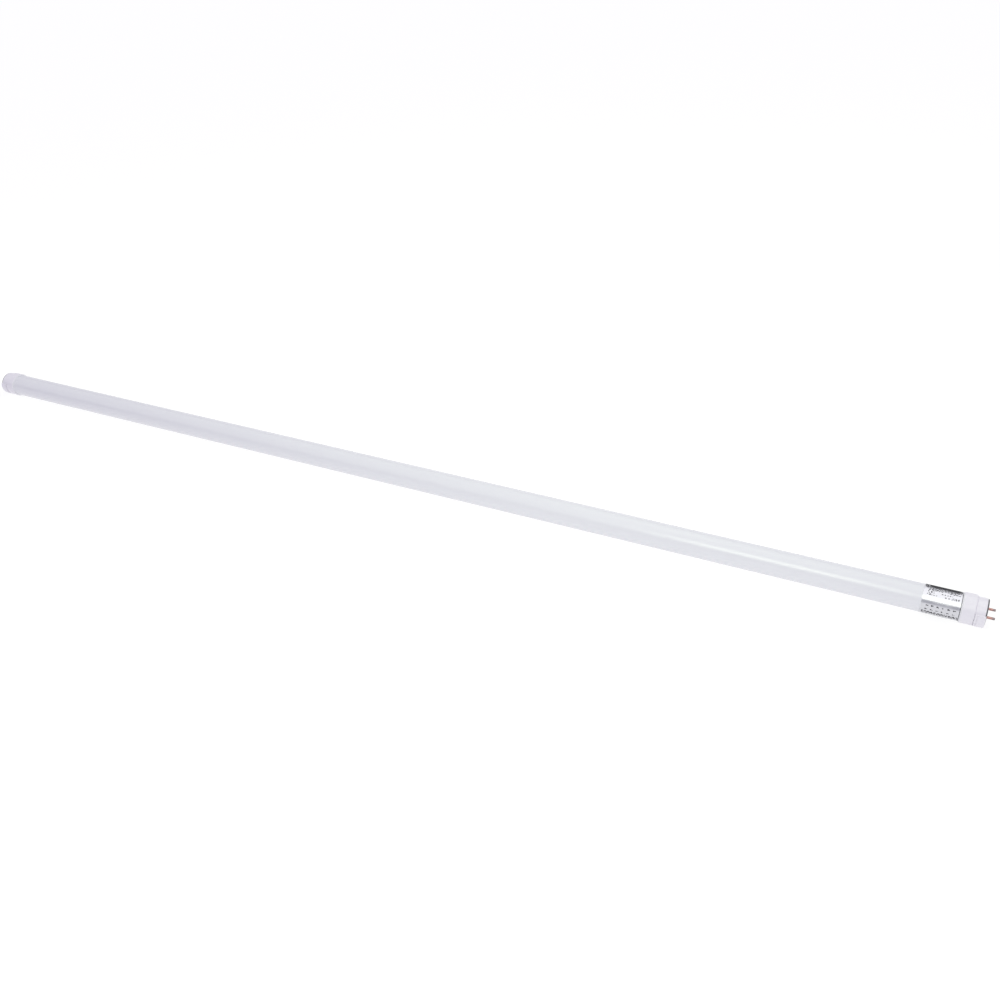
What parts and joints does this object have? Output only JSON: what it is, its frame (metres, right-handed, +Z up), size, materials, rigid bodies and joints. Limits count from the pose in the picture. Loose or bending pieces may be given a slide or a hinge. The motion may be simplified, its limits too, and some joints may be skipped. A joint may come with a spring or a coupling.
{
  "type": "led tube lamp",
  "caption": "Straight white glass LED tube lamp with a two-pin cap at each end and a silver foil label, for a pair of lampholders.",
  "frame": {"origin": "middle of the lamp's axis, halfway between the two ends", "axes": "+X along the lamp towards the end with the label and the supply board, +Z up as it lies, with the lit board below and facing up, +Y to the back; the pins of each end lie side by side along Y"},
  "size_m": [1.2132, 0.0282, 0.0282],
  "materials": {
    "opal_glass": "glossy, milky white, not see-through",
    "foil": "bright foil with dark print",
    "cap_plastic": "satin white moulded",
    "plate_plastic": "smooth dark grey insulating",
    "pin_metal": "copper-coloured, slightly dull",
    "sealant": "white silicone",
    "white_board": "white coated board",
    "phosphor": "yellow windows in white frames",
    "clear_glue": "white silicone",
    "green_board": "green coated board",
    "black_mould": "matt black moulded",
    "yellow_mould": "matt yellow moulded",
    "resistor_coat": "matt green-blue coated",
    "ferrite": "matt dark grey ferrite",
    "copper_wire": "enamelled copper wire",
    "can_sleeve": "dark shrunk sleeve",
    "tinned_wire": "tinned wire",
    "film": "white insulating film"
  },
  "bodies": {
    "root": {"glass_tube": "opal_glass", "foil_label": "foil", "driver_end_cap": "cap_plastic", "far_end_cap": "cap_plastic", "driver_pin_plate": "plate_plastic", "far_pin_plate": "plate_plastic", "driver_pin_front": "pin_metal", "driver_pin_back": "pin_metal", "far_pin_front": "pin_metal", "far_pin_back": "pin_metal", "driver_cap_sealant": "sealant", "far_cap_sealant": "sealant", "led_strip": "white_board", "led_chips": "phosphor", "strip_adhesive": "clear_glue", "driver_board": "green_board", "driver_sleeve": "film", "live_lead": "tinned_wire", "neutral_lead": "tinned_wire", "far_pin_link": "tinned_wire", "output_header": "tinned_wire", "fuse_resistor": "resistor_coat", "bridge_rectifier": "black_mould", "driver_chip": "black_mould", "output_diode": "black_mould", "sense_resistors": "black_mould", "input_capacitor": "yellow_mould", "choke_core": "ferrite", "choke_winding": "copper_wire", "transformer_core": "ferrite", "transformer_bobbin": "black_mould", "transformer_winding": "copper_wire", "smoothing_capacitor": "can_sleeve"}
  },
  "joints": []
}
